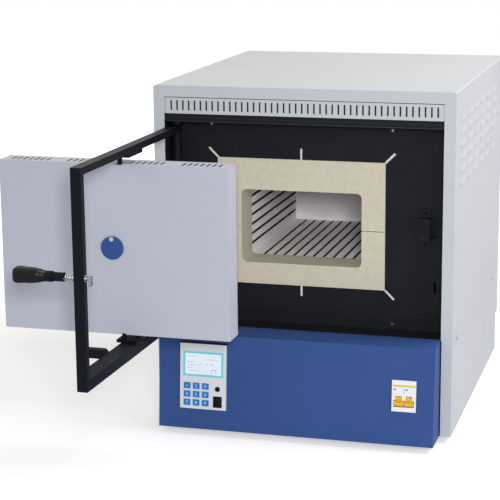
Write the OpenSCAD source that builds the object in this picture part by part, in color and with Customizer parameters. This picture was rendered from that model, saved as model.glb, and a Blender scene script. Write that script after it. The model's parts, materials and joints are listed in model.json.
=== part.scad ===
// Jewellery kiln: free-standing body, chamber with grooved tiles, parallel-motion door.
// Millimetres. X to the right, Y to the back, Z up. Inside the modules, sizes are
// measured from the casing's front left bottom corner; from_corner() moves them so
// that the origin is the centre of the body's footprint on the standing plane.

/* [Body] */
// width of the casing
body_w = 460; // [380:1:560]
// depth of the casing
body_d = 520; // [430:1:630]
// height of the casing without its feet
body_h = 519; // [430:1:630]
// height of the feet
foot_h = 10; // [8:1:14]
// sheet thickness of casing, liner and panels
sheet = 1.5; // [1:0.1:2]
// width of the front flange on each side and at the top
flange_w = 17; // [14:1:22]

/* [Recess] */
// height of the recess floor over the casing's bottom edge
floor_z = 150; // [125:1:180]
// height of the slotted vent strip
strip_h = 25; // [20:1:30]
// height of the fascia under the vent strip
fascia_h = 12.5; // [10:0.5:15]
// depth of the recess in front of the chamber plate
recess_d = 42; // [42:1:52]
// height of the folded strips along the recess floor and ceiling
border_h = 16; // [13:1:19]

/* [Chamber] */
// width of the ceramic mouth
mouth_w = 261; // [218:1:313]
// height of the ceramic mouth
mouth_h = 195.5; // [163:0.5:235]
// width of the opening in the mouth
opening_w = 188; // [157:1:226]
// height of the opening in the mouth
opening_h = 114; // [95:1:137]
// depth of the mouth blocks
mouth_d = 58; // [48:1:70]
// depth of the chamber behind the mouth
chamber_d = 296; // [247:1:355]
// thickness of the grooved tiles
tile_t = 25; // [21:1:30]
// thickness of the insulation boards
board_t = 50; // [42:1:60]

/* [Console] */
// reach of the console in front of the casing at its top edge
console_top = 44; // [37:1:53]
// further reach of the console at its bottom edge
console_lean = 12; // [10:1:15]
// width of the controller bezel
bezel_w = 73; // [61:1:88]
// height of the controller bezel
bezel_h = 101; // [84:1:118]
// width of the two-pole breaker
breaker_w = 36; // [30:1:43]

/* [Door] */
// distance from the hinge axis to the far tube of the swing frame
frame_l = 394; // [386:1:400]
// height of the top tube's upper face over the recess floor
frame_h = 307; // [256:1:309]
// thickness of the swing frame
frame_t = 15; // [12.5:0.5:18]
// angle of the swing frame in the stored pose, from closed
rest_open = 91; // [76:1:105]
// distance from hinge axis to door pivot along the frame
pivot_s = 197; // [180:1:205]
// distance of the door pivot in front of the frame's centre plane
pivot_out = 17; // [14.5:0.5:20]
// width of the door
door_w = 345; // [288:1:355]
// height of the door
door_h = 250; // [208:1:254]
// thickness of the door
door_t = 41; // [34:1:42]

/* [Hidden] */
$fa = 6;
$fs = 0.6;
eps = 0.01;

// colours
c_casing = [0.78, 0.80, 0.83];
c_black = [0.12, 0.12, 0.14];
c_blue = [0.22, 0.32, 0.58];
c_ceramic = [0.82, 0.78, 0.67];
c_tile = [0.66, 0.65, 0.65];
c_board = [0.90, 0.88, 0.84];
c_steel = [0.75, 0.75, 0.77];
c_cyan = [0.40, 0.77, 0.85];
c_key = [0.10, 0.42, 0.72];
c_white = [0.93, 0.93, 0.92];
c_yellow = [0.93, 0.74, 0.20];

// heights
strip_top = body_h - flange_w;
strip_z = strip_top - strip_h;
ceiling_z = strip_z - fascia_h;
mid_z = (floor_z + ceiling_z) / 2;
rear_cut_z = 64;
rear_cut_y = body_d - 20;

// running clearances and small hardware
foot_r = 14;
run = 0.06;
pin_r = 4;
screw_r = 3;

// mouth and chamber
mouth_x = body_w / 2 - 11;
mouth_z = mid_z + 1;
opening_x = mouth_x + 0.5;
opening_z = mouth_z - 7.5;
opening_r = 8;
mouth_y = recess_d - 2;
seam_z = opening_z;
chamber_w = opening_w + 6;
chamber_h = opening_h + 6;
chamber_y = mouth_y + mouth_d;
tile_end = chamber_y + chamber_d + tile_t;
groove_w = 4.8;
groove_d = 5;
side_pitch = 15.2;
floor_pitch = 16;
side_grooves = floor((chamber_h - 12) / side_pitch);
floor_grooves = floor((chamber_w - 14) / floor_pitch);
wire_r = 2.1;
wire_sunk = wire_r + 0.3;
plate_back = recess_d + sheet;
slit_w = 3.5;
slit_l = 17;

// console, measured up its sloping face from its lower front edge
console_x0 = flange_w + 0.5;
console_x1 = body_w - flange_w - 0.5;
console_drop = 3;
console_low = console_top + console_lean;
lean = atan(console_lean / (floor_z - console_drop));
controller_x = console_x0 + 71;
controller_v = 82.5;
breaker_x = body_w - 62;
breaker_v = 75.5;
breaker_h = 47;
toggle_v = breaker_v - 10;
toggle_rest = -60;
key_w = 10.4;
key_h = 9.2;
key_pitch_x = 14.5;
key_pitch_v = 13;
key_x = controller_x - 25.3;
key_v = controller_v - 15;

// hinge, frame and door; frame sizes run along the closed frame from the hinge axis
hinge_x = flange_w + 13;
hinge_y = 20;
frame_z0 = floor_z + 3;
frame_z1 = floor_z + frame_h;
top_h = 10;
low_h = 16;
far_t = 10;
tube_wall = 1.5;
post_r = 7;
plate_t = 4.5;
low_top = frame_z0 + low_h;
door_z0 = low_top + 10;
door_z1 = door_z0 + door_h;
door_face = 5.5;
pivot_pin_r = 3.5;
door_left = 0.532 * door_w;
link_b = 22;
link_angle = 18;
link_dx = link_b * cos(link_angle);
link_dy = link_b * sin(link_angle);
link_z = low_top + plate_t + 0.8;
link_t = 3;
stud_r = 3;
bush_r = 6;
latch_z = floor_z + 159;
latch_r = 3;
latch_bush_r = 4.5;
bush_out = 0.6;
peep_z = latch_z - 2;
peep_x = -12.6;
peep_r = 17;
peep_gap = 0.4;
peep_t = 2;
peep_bore_r = 9;
peep_screw_r = 2;
peep_screw_z = peep_z + 13.3;
stop_s = 265;
stop_l = 33;

// spring around the latch rod
spring_l = 14;
spring_curls = 5;
spring_r = 4.6;
spring_wire = 0.6;
spring_rings = 8;
spring_sides = 6;

module from_corner() {
  translate([-body_w / 2, -body_d / 2, foot_h]) children();
}

module box(a, b) {
  translate(a) cube([b[0] - a[0], b[1] - a[1], b[2] - a[2]]);
}

// a round bar along Y, from y0 to y1
module bar_y(x, y0, y1, z, r) {
  translate([x, y1, z]) rotate([90, 0, 0]) cylinder(h = y1 - y0, r = r);
}

// a block along Y with rounded long edges
module round_block_y(x0, x1, y0, y1, z0, z1, r) {
  translate([0, y1, 0]) rotate([90, 0, 0]) linear_extrude(height = y1 - y0) union() {
    translate([x0 + r, z0]) square([x1 - x0 - 2 * r, z1 - z0]);
    translate([x0, z0 + r]) square([x1 - x0, z1 - z0 - 2 * r]);
    for (cx = [x0 + r, x1 - r], cz = [z0 + r, z1 - r]) translate([cx, cz]) circle(r = r);
  }
}

// the sloping console face: x as before, v up the slope, w out of it
module on_console() {
  translate([0, -console_low, 0]) rotate([90 - lean, 0, 0]) children();
}

// the frame as stored; children are drawn closed, x along the frame, y to the back
module on_frame() {
  translate([hinge_x, hinge_y, 0]) rotate([0, 0, -rest_open]) children();
}

// the door's pivot axis as stored; the door never turns
module on_door() {
  px = pivot_s * cos(rest_open) - pivot_out * sin(rest_open);
  py = -pivot_s * sin(rest_open) - pivot_out * cos(rest_open);
  translate([hinge_x + px, hinge_y + py, 0]) children();
}

// pressed louvres of one side: outer skin when gap is narrow, inner space when wide
louvre_out = 1.4;
louvre_rows = 6;
louvre_cols = 6;
louvre_z = floor_z + 224;
louvre_pitch = (strip_top - 12 - louvre_z) / louvre_rows;
louvre_y0 = 45;
louvre_y1 = body_d - 70;
louvre_l = (louvre_y1 - louvre_y0) / louvre_cols;
module louvre_set(out, tall, low, gap) {
  difference() {
    for (k = [0 : louvre_rows - 1]) translate([0, louvre_y1, louvre_z + k * louvre_pitch])
      rotate([90, 0, 0]) linear_extrude(height = louvre_y1 - louvre_y0)
        polygon([[-sheet - 0.5, low], [out, low], [out, low + 1.5], [0, tall], [-sheet - 0.5, tall]]);
    for (k = [0 : louvre_cols])
      box([-10, louvre_y0 + k * louvre_l - gap, 0], [10, louvre_y0 + k * louvre_l + gap, body_h]);
  }
}

// screws through both casing sides into the flanges of the chamber shelf
shelf_t = 2;
side_screw_r = 2;
side_screw_y = [40, body_d - 84];
side_screw_z = floor_z - 5.6;
module side_screw_holes() {
  for (y = side_screw_y)
    translate([-1, y, side_screw_z]) rotate([0, 90, 0]) cylinder(h = body_w + 2, r = side_screw_r);
}

module outer_casing() {
  color(c_casing) from_corner() difference() {
    union() {
      difference() {
        round_block_y(0, body_w, 0, body_d, -20, body_h, 2.5);
        round_block_y(sheet, body_w - sheet, sheet, body_d + 1, -21, body_h - sheet, 1);
        box([-1, -1, -30], [body_w + 1, body_d + 2, 0]);
      }
      intersection() {
        translate([body_w, 0, 0]) louvre_set(louvre_out, 9, 0, 5);
        box([body_w - sheet, 0, 0], [body_w + 10, body_d, body_h]);
      }
      intersection() {
        mirror([1, 0, 0]) louvre_set(louvre_out, 9, 0, 5);
        box([-10, 0, 0], [sheet, body_d, body_h]);
      }
    }
    translate([body_w, 0, 0]) louvre_set(louvre_out - 1, 7, -0.5, 6);
    mirror([1, 0, 0]) louvre_set(louvre_out - 1, 7, -0.5, 6);
    box([flange_w, -1, -1], [body_w - flange_w, sheet + eps, strip_top]);
    box([-1, rear_cut_y, -1], [body_w + 1, body_d + 1, rear_cut_z]);
    side_screw_holes();
  }
}

vent_w = 6;
rear_slots = 12;
base_slots = 10;
module rear_panel() {
  color(c_casing) from_corner() difference() {
    union() {
      box([sheet, body_d - sheet, rear_cut_z], [body_w - sheet, body_d, body_h - sheet]);
      box([sheet, rear_cut_y - sheet, rear_cut_z], [body_w - sheet, body_d - sheet, rear_cut_z + sheet]);
      box([sheet, rear_cut_y - sheet, sheet], [body_w - sheet, rear_cut_y, rear_cut_z + eps]);
    }
    for (k = [0 : rear_slots - 1]) {
      x = body_w / 2 - 90 + k * 16;
      box([x, body_d - 5, strip_z - 90], [x + vent_w, body_d + 1, strip_z]);
    }
    bar_y(gland_x, rear_cut_y - 5, rear_cut_y + 1, gland_z, gland_r);
  }
}

gland_r = 8;
gland_bore_r = 5;
gland_x = body_w - 80;
gland_z = rear_cut_z / 2;
module cable_gland() {
  color(c_black) from_corner() difference() {
    union() {
      bar_y(gland_x, rear_cut_y - 12, rear_cut_y + 12, gland_z, gland_r);
      bar_y(gland_x, rear_cut_y, rear_cut_y + 5, gland_z, gland_r + 4);
      bar_y(gland_x, rear_cut_y - 6, rear_cut_y - sheet, gland_z, gland_r + 4);
    }
    bar_y(gland_x, rear_cut_y - 13, rear_cut_y + 13, gland_z, gland_bore_r);
  }
}

module base_pan() {
  color(c_casing) from_corner() difference() {
    union() {
      box([sheet, sheet, 0], [body_w - sheet, rear_cut_y - sheet, sheet]);
      box([console_x0 + sheet, -console_low + 8, 0], [console_x1 - sheet, sheet + eps, sheet]);
      for (x = [sheet, body_w - 2 * sheet]) box([x, sheet, 0], [x + sheet, rear_cut_y - sheet, 12]);
    }
    for (k = [0 : base_slots - 1], y = [body_d / 2 - 110, body_d / 2 + 35]) {
      x = body_w / 2 - 111 + k * 24;
      box([x, y, -1], [x + vent_w, y + 75, sheet + 1]);
    }
  }
}

module chamber_shelf() {
  color(c_steel) from_corner() difference() {
    union() {
      box([sheet, plate_back, floor_z - shelf_t], [body_w - sheet, tile_end + board_t, floor_z]);
      for (x = [sheet, body_w - sheet - shelf_t])
        box([x, 25, floor_z - 14], [x + shelf_t, tile_end + board_t, floor_z - shelf_t]);
    }
    side_screw_holes();
  }
}

strip_x0 = flange_w + 3;
strip_x1 = body_w - flange_w - 1;
strip_slots = 45;
slot_w = 2.5;
slot_h = 0.6 * strip_h;
slot_pitch = (strip_x1 - strip_x0 - 14.4) / (strip_slots - 0.74);
module vent_strip() {
  color(c_casing) from_corner() difference() {
    union() {
      box([strip_x0, 0, strip_z], [strip_x1, 2 * sheet, strip_top - 1]);
      box([8, sheet, strip_z], [strip_x0 + eps, 2 * sheet, strip_top - 1]);
      box([strip_x1 - eps, sheet, strip_z], [body_w - 8, 2 * sheet, strip_top - 1]);
    }
    for (k = [0 : strip_slots - 1])
      box([strip_x0 + 7.2 + k * slot_pitch, -1, strip_z + (strip_h - slot_h) / 2],
        [strip_x0 + 7.2 + slot_w + k * slot_pitch, 5, strip_z + (strip_h + slot_h) / 2]);
  }
}

module fascia() {
  color(c_black) from_corner() union() {
    box([flange_w, sheet, ceiling_z], [body_w - flange_w, 2 * sheet, strip_z]);
    box([flange_w, 2 * sheet - eps, ceiling_z], [body_w - flange_w, 12, ceiling_z + sheet]);
    box([8, sheet, ceiling_z], [flange_w + eps, 2 * sheet, strip_z]);
    box([body_w - flange_w - eps, sheet, ceiling_z], [body_w - 8, 2 * sheet, strip_z]);
  }
}

liner_x0 = flange_w - sheet;
liner_x1 = body_w - flange_w + sheet;
module recess_liner() {
  color(c_black) from_corner() difference() {
    union() {
      box([liner_x0, sheet, floor_z - sheet], [liner_x1, recess_d, floor_z]);
      box([liner_x0, 12, ceiling_z], [liner_x1, recess_d, ceiling_z + sheet]);
      box([liner_x0, 2 * sheet, floor_z - sheet], [flange_w, recess_d, ceiling_z]);
      box([liner_x1 - sheet, 2 * sheet, floor_z - sheet], [liner_x1, recess_d, ceiling_z]);
      for (z = [floor_z - eps, ceiling_z - border_h])
        box([flange_w - eps, recess_d - sheet, z], [liner_x1 - 10, recess_d, z + border_h + eps]);
    }
    translate([hinge_x, hinge_y, 0]) cylinder(h = body_h, r = bush_r);
    plate_holes();
  }
}

// the small fixing holes shared by liner strips and front plate
plate_hole_r = 1.6;
screw_spots = [[80, floor_z + 9.6], [body_w - 98, floor_z + 9.6],
  [80, ceiling_z - 7], [body_w - 100, ceiling_z - 9]];
module plate_holes() {
  for (p = screw_spots) bar_y(p[0], recess_d - 3, recess_d + 5, p[1], plate_hole_r);
}

module plate_screws() {
  color(c_steel) from_corner() for (p = screw_spots) union() {
    bar_y(p[0], recess_d - sheet - 1.6, recess_d - sheet, p[1], screw_r);
    bar_y(p[0], recess_d - sheet - eps, plate_back, p[1], plate_hole_r);
  }
}

module side_screws() {
  color(c_steel) from_corner() for (y = side_screw_y, s = [0, 1])
    translate([s * body_w, y, side_screw_z]) mirror([1 - s, 0, 0]) rotate([0, 90, 0]) union() {
      cylinder(h = 2, r = 1.8 * side_screw_r);
      translate([0, 0, -sheet - shelf_t]) cylinder(h = sheet + shelf_t + eps, r = side_screw_r);
    }
}

module mouth_slit(x, z, a, l) {
  translate([x, recess_d - 1, z]) rotate([0, -a, 0]) box([-2, 0, -slit_w / 2], [l, sheet + 2, slit_w / 2]);
}

mouth_x0 = mouth_x - mouth_w / 2;
mouth_x1 = mouth_x + mouth_w / 2;
mouth_z0 = mouth_z - mouth_h / 2;
mouth_z1 = mouth_z + mouth_h / 2;
module front_plate() {
  color(c_black) from_corner() difference() {
    box([liner_x0, recess_d, floor_z - sheet], [liner_x1, plate_back, ceiling_z + sheet]);
    box([mouth_x0, recess_d - 1, mouth_z0], [mouth_x1, plate_back + 1, mouth_z1]);
    mouth_slit(opening_x, mouth_z1, 90, slit_l);
    mouth_slit(opening_x, mouth_z0, -90, slit_l);
    mouth_slit(mouth_x0, mouth_z1, 135, 1.2 * slit_l);
    mouth_slit(mouth_x1, mouth_z1, 45, 1.2 * slit_l);
    mouth_slit(mouth_x0, mouth_z0, -135, 1.2 * slit_l);
    mouth_slit(mouth_x1, mouth_z0, -45, 1.2 * slit_l);
    plate_holes();
    for (z = [latch_z - keeper_hole, latch_z + keeper_hole])
      bar_y(keeper_x - 1, recess_d - 1, plate_back + 1, z, plate_hole_r);
    hook_window(recess_d - 1, plate_back + 1);
    box([body_w - flange_w - 19, recess_d - 1, floor_z + 60],
      [body_w - flange_w - 19 + slit_w, plate_back + 1, floor_z + 77]);
  }
}

module mouth_block() {
  difference() {
    box([mouth_x0, mouth_y, mouth_z0], [mouth_x1, mouth_y + mouth_d, mouth_z1]);
    round_block_y(opening_x - opening_w / 2, opening_x + opening_w / 2, mouth_y - 1,
      mouth_y + mouth_d + 1, opening_z - opening_h / 2, opening_z + opening_h / 2, opening_r);
    translate([0, 0, seam_z]) rotate([0, 90, 0]) linear_extrude(height = body_w)
      polygon([[0.5, mouth_y - eps], [-0.5, mouth_y - eps], [0, mouth_y + 0.6]]);
  }
}

module mouth_upper() {
  color(c_ceramic) from_corner() intersection() {
    mouth_block();
    box([0, 0, seam_z], [body_w, body_d, body_h]);
  }
}

module mouth_lower() {
  color(c_ceramic) from_corner() intersection() {
    mouth_block();
    box([0, 0, 0], [body_w, body_d, seam_z]);
  }
}

ch_x0 = opening_x - chamber_w / 2;
ch_x1 = opening_x + chamber_w / 2;
ch_z0 = opening_z - chamber_h / 2;
ch_z1 = opening_z + chamber_h / 2;
ch_y1 = chamber_y + chamber_d;
floor_groove0 = opening_x + 2 - (floor_grooves - 1) * floor_pitch / 2;
side_groove0 = opening_z + 3 - (side_grooves - 1) * side_pitch / 2;
probe_x = opening_x + 40;
probe_z = ch_z1 - 30;
probe_r = 4;
module floor_tile(z0, up) {
  difference() {
    box([ch_x0 - tile_t, chamber_y, z0], [ch_x1 + tile_t, tile_end, z0 + tile_t]);
    for (k = [0 : floor_grooves - 1]) {
      x = floor_groove0 + k * floor_pitch;
      z = up ? z0 + tile_t - groove_d : z0 - 1;
      box([x - groove_w / 2, chamber_y - 1, z], [x + groove_w / 2, ch_y1 - 4, z + groove_d + 1]);
    }
  }
}

module side_tile(x0, right) {
  difference() {
    box([x0, chamber_y, ch_z0], [x0 + tile_t, ch_y1, ch_z1]);
    for (k = [0 : side_grooves - 1]) {
      z = side_groove0 + k * side_pitch;
      x = right ? x0 - 1 : x0 + tile_t - groove_d;
      box([x, chamber_y - 1, z - groove_w / 2], [x + groove_d + 1, ch_y1 - 4, z + groove_w / 2]);
    }
  }
}

module tile_floor() {
  color(c_tile) from_corner() floor_tile(ch_z0 - tile_t, true);
}

module tile_roof() {
  color(c_tile) from_corner() floor_tile(ch_z1, false);
}

module tile_sides() {
  color(c_tile) from_corner() union() {
    side_tile(ch_x0 - tile_t, false);
    side_tile(ch_x1, true);
  }
}

module tile_rear() {
  color(c_tile) from_corner() difference() {
    box([ch_x0 - tile_t, ch_y1, ch_z0], [ch_x1 + tile_t, tile_end, ch_z1]);
    bar_y(probe_x, ch_y1 - 1, tile_end + 1, probe_z, probe_r);
  }
}

// straight runs of heating wire lying in the grooves
module heating_wires() {
  color(c_black) from_corner() union() {
    for (k = [0 : floor_grooves - 1], z = [ch_z0 - wire_sunk, ch_z1 + wire_sunk])
      bar_y(floor_groove0 + k * floor_pitch, chamber_y + 1, ch_y1 - 5, z, wire_r);
    for (k = [0 : side_grooves - 1], x = [ch_x0 - wire_sunk, ch_x1 + wire_sunk])
      bar_y(x, chamber_y + 1, ch_y1 - 5, side_groove0 + k * side_pitch, wire_r);
  }
}

bd_x0 = ch_x0 - tile_t - board_t;
bd_x1 = ch_x1 + tile_t + board_t;
bd_z1 = ch_z1 + tile_t + board_t;
// front, bottom, top, left, right and rear board, butted together around the tiles
module insulation_boards() {
  color(c_board) from_corner() difference() {
    box([bd_x0, plate_back, floor_z], [bd_x1, tile_end + board_t, bd_z1]);
    box([mouth_x0, 0, mouth_z0], [mouth_x1, chamber_y, mouth_z1]);
    box([ch_x0 - tile_t, chamber_y - eps, ch_z0 - tile_t], [ch_x1 + tile_t, tile_end, ch_z1 + tile_t]);
    bar_y(probe_x, tile_end - 1, tile_end + board_t + 1, probe_z, probe_r);
  }
}

module thermocouple() {
  color(c_steel) from_corner() union() {
    bar_y(probe_x, ch_y1 - 15, tile_end + board_t + 4, probe_z, probe_r);
    bar_y(probe_x, tile_end + board_t, tile_end + board_t + 14, probe_z, 10);
  }
}

// what goes through the console: the controller's body and the breaker's body
neck_w = 68;
neck_h = 96;
module controller_block(w0, w1, gap) {
  box([controller_x - neck_w / 2 + gap, controller_v - neck_h / 2 + gap, w0],
    [controller_x + neck_w / 2 - gap, controller_v + neck_h / 2 - gap, w1]);
}

breaker_neck_h = 45;
breaker_edge = 1;
module breaker_block(w0, w1) {
  box([breaker_x - breaker_w / 2 + breaker_edge, breaker_v - breaker_neck_h / 2, w0],
    [breaker_x + breaker_w / 2 - breaker_edge, breaker_v + breaker_neck_h / 2, w1]);
}

module console_panel() {
  color(c_blue) from_corner() difference() {
    translate([console_x0, 0, 0]) rotate([90, 0, 90]) linear_extrude(height = console_x1 - console_x0)
      polygon([[sheet, floor_z], [-2, floor_z], [-console_top, floor_z - console_drop],
        [-console_low, 0], [sheet, 0]]);
    translate([console_x0 + sheet, 0, 0]) rotate([90, 0, 90])
      linear_extrude(height = console_x1 - console_x0 - 2 * sheet)
        polygon([[sheet + 1, floor_z - sheet], [-2, floor_z - sheet],
          [-console_top + sheet, floor_z - console_drop - sheet],
          [-console_low + sheet, -1], [sheet + 1, -1]]);
    on_console() controller_block(-5, 5, 0);
    on_console() breaker_block(-5, 5);
  }
}

screen_x0 = controller_x - 31.5;
screen_x1 = controller_x + 32;
screen_v0 = controller_v;
screen_v1 = controller_v + 38.5;
screen_edge = 3;
port_x = controller_x + 23.2;
port_v = controller_v - 38;
jack_x = controller_x + 23.1;
jack_v = controller_v - 18;
jack_r = 4;
port_hw = 7;
port_hh = 8.8;
port_w0 = 5.5;
port_wall = 2.5;
module controller_bezel() {
  color(c_casing) from_corner() on_console() difference() {
    union() {
      box([controller_x - bezel_w / 2, controller_v - bezel_h / 2, 0],
        [controller_x + bezel_w / 2, controller_v + bezel_h / 2, 3]);
      controller_block(-sheet, eps, 0);
    }
    box([screen_x0, screen_v0, -5], [screen_x1, screen_v1, 5]);
    for (i = [0 : 2], j = [0 : 2]) translate([key_x + i * key_pitch_x, key_v - j * key_pitch_v, -5])
      cube([key_w + 0.6, key_h + 0.6, 20], center = true);
    translate([jack_x, jack_v, -5]) cylinder(h = 10, r = jack_r);
    box([port_x - port_hw, port_v - port_hh, -5], [port_x + port_hw, port_v + port_hh, 5]);
  }
}

module key(i, j) {
  translate([key_x + i * key_pitch_x, key_v - j * key_pitch_v, 0]) union() {
    translate([0, 0, 1.3]) cube([key_w, key_h, 5], center = true);
    translate([0, 0, -4]) cylinder(h = 4, r = 2);
  }
}

module controller_housing() {
  color(c_black) from_corner() on_console()
    controller_block(-38, -port_w0, 0.5);
}

module key_piece(n) {
  color(c_key) from_corner() on_console() key((n - 1) % 3, floor((n - 1) / 3));
}

module key_1() {
  key_piece(1);
}

module key_2() {
  key_piece(2);
}

module key_3() {
  key_piece(3);
}

module key_4() {
  key_piece(4);
}

module key_5() {
  key_piece(5);
}

module key_6() {
  key_piece(6);
}

module key_7() {
  key_piece(7);
}

module key_8() {
  key_piece(8);
}

module key_9() {
  key_piece(9);
}

module screen_frame() {
  color(c_cyan) from_corner() on_console() difference() {
    box([screen_x0, screen_v0, -4], [screen_x1, screen_v1, 3.4]);
    box([screen_x0 + screen_edge, screen_v0 + screen_edge, -5],
      [screen_x1 - screen_edge, screen_v1 - screen_edge, 5]);
  }
}

module screen() {
  color(c_black) from_corner() on_console()
    box([screen_x0 + screen_edge, screen_v0 + screen_edge, -4],
      [screen_x1 - screen_edge, screen_v1 - screen_edge, 2.6]);
}

// round sensor jack and rectangular data port of the controller
module controller_ports() {
  color(c_black) from_corner() on_console() union() {
    difference() {
      translate([jack_x, jack_v, -port_w0]) cylinder(h = 9, r = jack_r);
      translate([jack_x, jack_v, -1]) cylinder(h = 9, r = 2);
    }
    difference() {
      box([port_x - port_hw, port_v - port_hh, -port_w0], [port_x + port_hw, port_v + port_hh, 3.5]);
      box([port_x - port_hw + port_wall, port_v - port_hh + port_wall, -1],
        [port_x + port_hw - port_wall, port_v + port_hh - port_wall, 4]);
    }
  }
}

toggle_slot = 31;
breaker_deep = 58;
module breaker_body() {
  color(c_white) from_corner() on_console() union() {
    difference() {
      union() {
        breaker_block(-breaker_deep, 3);
        box([breaker_x - breaker_w / 2, breaker_v - breaker_h / 2, 0],
          [breaker_x + breaker_w / 2, breaker_v + breaker_h / 2, 3]);
      }
      box([breaker_x - toggle_slot / 2, toggle_v - 12, -8],
        [breaker_x + toggle_slot / 2, toggle_v + 12, 10]);
    }
    translate([breaker_x - toggle_slot / 2 - 1, toggle_v, -1]) rotate([0, 90, 0])
      cylinder(h = toggle_slot + 2, r = 1.5);
  }
}

module breaker_toggle() {
  color(c_yellow) from_corner() on_console() translate([breaker_x, toggle_v, -1])
    rotate([toggle_rest, 0, 0]) difference() {
      union() {
        translate([-toggle_slot / 2 + 0.5, 0, 0]) rotate([0, 90, 0])
          cylinder(h = toggle_slot - 1, r = 5);
        for (s = [-1, 1]) box([s * 8 - 4, -2, 0], [s * 8 + 4, 2, 15]);
        for (s = [-1, 1]) box([s * 8 - 7, -2, 9], [s * 8 + 7, 2, 15]);
      }
      translate([-toggle_slot, 0, 0]) rotate([0, 90, 0]) cylinder(h = 2 * toggle_slot, r = 1.5 + run);
    }
}

// top-hat rail behind the breaker with two legs on the base pan
rail_l = 60;
rail_w = 35;
module mounting_rail() {
  color(c_steel) from_corner() intersection() {
    on_console() union() {
      box([breaker_x - rail_l / 2, breaker_v - rail_w / 2, -breaker_deep - sheet],
        [breaker_x + rail_l / 2, breaker_v + rail_w / 2, -breaker_deep]);
      for (x = [breaker_x - rail_l / 2, breaker_x + rail_l / 4])
        box([x, -20, -breaker_deep - 2 * sheet],
          [x + rail_l / 4, breaker_v + rail_w / 2, -breaker_deep - sheet]);
    }
    box([0, -100, sheet], [body_w, body_d, body_h]);
  }
}

// relay on its finned heat sink, in the base behind the controller
relay_x = 80;
relay_y = 120;
relay_w = 45;
relay_l = 80;
relay_h = 14;
module solid_state_relay() {
  color(c_black) from_corner() difference() {
    union() {
      box([relay_x, relay_y, sheet], [relay_x + relay_w, relay_y + relay_l, relay_h]);
      for (k = [0 : 3]) {
        x = relay_x + 3 + k * 11;
        box([x, relay_y, relay_h - eps], [x + 3, relay_y + relay_l, relay_h + 12]);
      }
    }
    for (y = [relay_y + 6, relay_y + relay_l - 6])
      translate([relay_x + relay_w / 2, y, 0]) cylinder(h = 40, r = 2);
  }
}

module feet() {
  color(c_black) from_corner() union() {
    for (x = [50, body_w - 50], y = [60, body_d - 80])
      translate([x, y, -foot_h]) cylinder(h = foot_h, r = foot_r);
    translate([body_w / 2, body_d / 2, -foot_h]) cylinder(h = foot_h, r = foot_r);
  }
}

module hinge_bushes() {
  color(c_steel) from_corner() difference() {
    union() {
      translate([hinge_x, hinge_y, floor_z - 12]) cylinder(h = 12 + eps, r = bush_r);
      translate([hinge_x, hinge_y, floor_z]) cylinder(h = 2, r = bush_r + 3);
      translate([hinge_x, hinge_y, frame_z1 + 1]) cylinder(h = ceiling_z - frame_z1 - 1, r = bush_r + 3);
      translate([hinge_x, hinge_y, ceiling_z - eps]) cylinder(h = 7, r = bush_r);
    }
    translate([hinge_x, hinge_y, 0]) cylinder(h = body_h, r = pin_r + run);
  }
}

// raised box on the plate, open to the right; the latch hook turns in behind its front
keeper_x = hinge_x + frame_l - 12;
keeper_t = 2;
keeper_h = 17;
keeper_ear = 31;
keeper_hole = 24;
hook_gap = 0.7;

// room for the hook and the rod's end when the latch is pushed in, behind the keeper's box
module hook_window(y0, y1) {
  box([keeper_x - 6, y0, latch_z - 14], [hinge_x + frame_l + latch_r + 2, y1, latch_z + 14]);
}

module latch_keeper() {
  color(c_black) from_corner() difference() {
    union() {
      box([keeper_x - 10, recess_d - keeper_t, latch_z - keeper_ear],
        [keeper_x + 7, recess_d, latch_z + keeper_ear]);
      box([keeper_x - 9, keeper_y, latch_z - keeper_h],
        [keeper_x + 7, recess_d - keeper_t + eps, latch_z + keeper_h]);
      bar_y(keeper_x - 1, keeper_y - 1.2, keeper_y + 1, latch_z, 7.5);
    }
    hook_window(keeper_y + keeper_front, recess_d + 1);
    bar_y(keeper_x - 1, keeper_y - 2, keeper_y + 1.2, latch_z, 5);
    for (z = [latch_z - keeper_hole, latch_z + keeper_hole])
      bar_y(keeper_x - 1, recess_d - 4, recess_d + 1, z, plate_hole_r);
  }
}

// forward bracket with the fixed stud of the parallel link
link_x = hinge_x + link_dx;
link_y = hinge_y + link_dy;
module link_bracket() {
  color(c_black) from_corner() union() {
    box([link_x - 8, recess_d - sheet - 3, floor_z + 1], [link_x + 8, recess_d - sheet, low_top + plate_t]);
    box([link_x - 8, link_y - 6, low_top + 1.5], [link_x + 8, recess_d - sheet - 3 + eps, low_top + plate_t]);
    translate([link_x, link_y, low_top + plate_t - eps])
      cylinder(h = link_z - low_top - plate_t + link_t + 0.7, r = stud_r);
  }
}

// level tube with its hinge end rounded, open at the far tube
module level_tube(z, h) {
  difference() {
    union() {
      translate([0, 0, z]) cylinder(h = h, r = frame_t / 2);
      box([0, -frame_t / 2, z], [frame_l - far_t / 2, frame_t / 2, z + h]);
    }
    box([frame_t, -frame_t / 2 + tube_wall, z + tube_wall],
      [frame_l, frame_t / 2 - tube_wall, z + h - tube_wall]);
    translate([0, 0, z - 1]) cylinder(h = h + 2, r = pin_r);
  }
}

// the lower tube carries a second, narrower one along its front side
low_side = 9.5;
low_side_x = 48;
low_side_end = frame_l - 34;
module frame_tubes() {
  side_y = -frame_t / 2 - low_side;
  color(c_black) from_corner() on_frame() union() {
    level_tube(frame_z1 - top_h, top_h);
    level_tube(frame_z0, low_h);
    difference() {
      box([low_side_x, side_y, frame_z0], [low_side_end, -frame_t / 2 + eps, low_top]);
      box([low_side_x - 1, side_y + tube_wall, frame_z0 + tube_wall],
        [low_side_end - tube_wall, -frame_t / 2 - tube_wall, low_top - tube_wall]);
    }
  }
}

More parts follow.
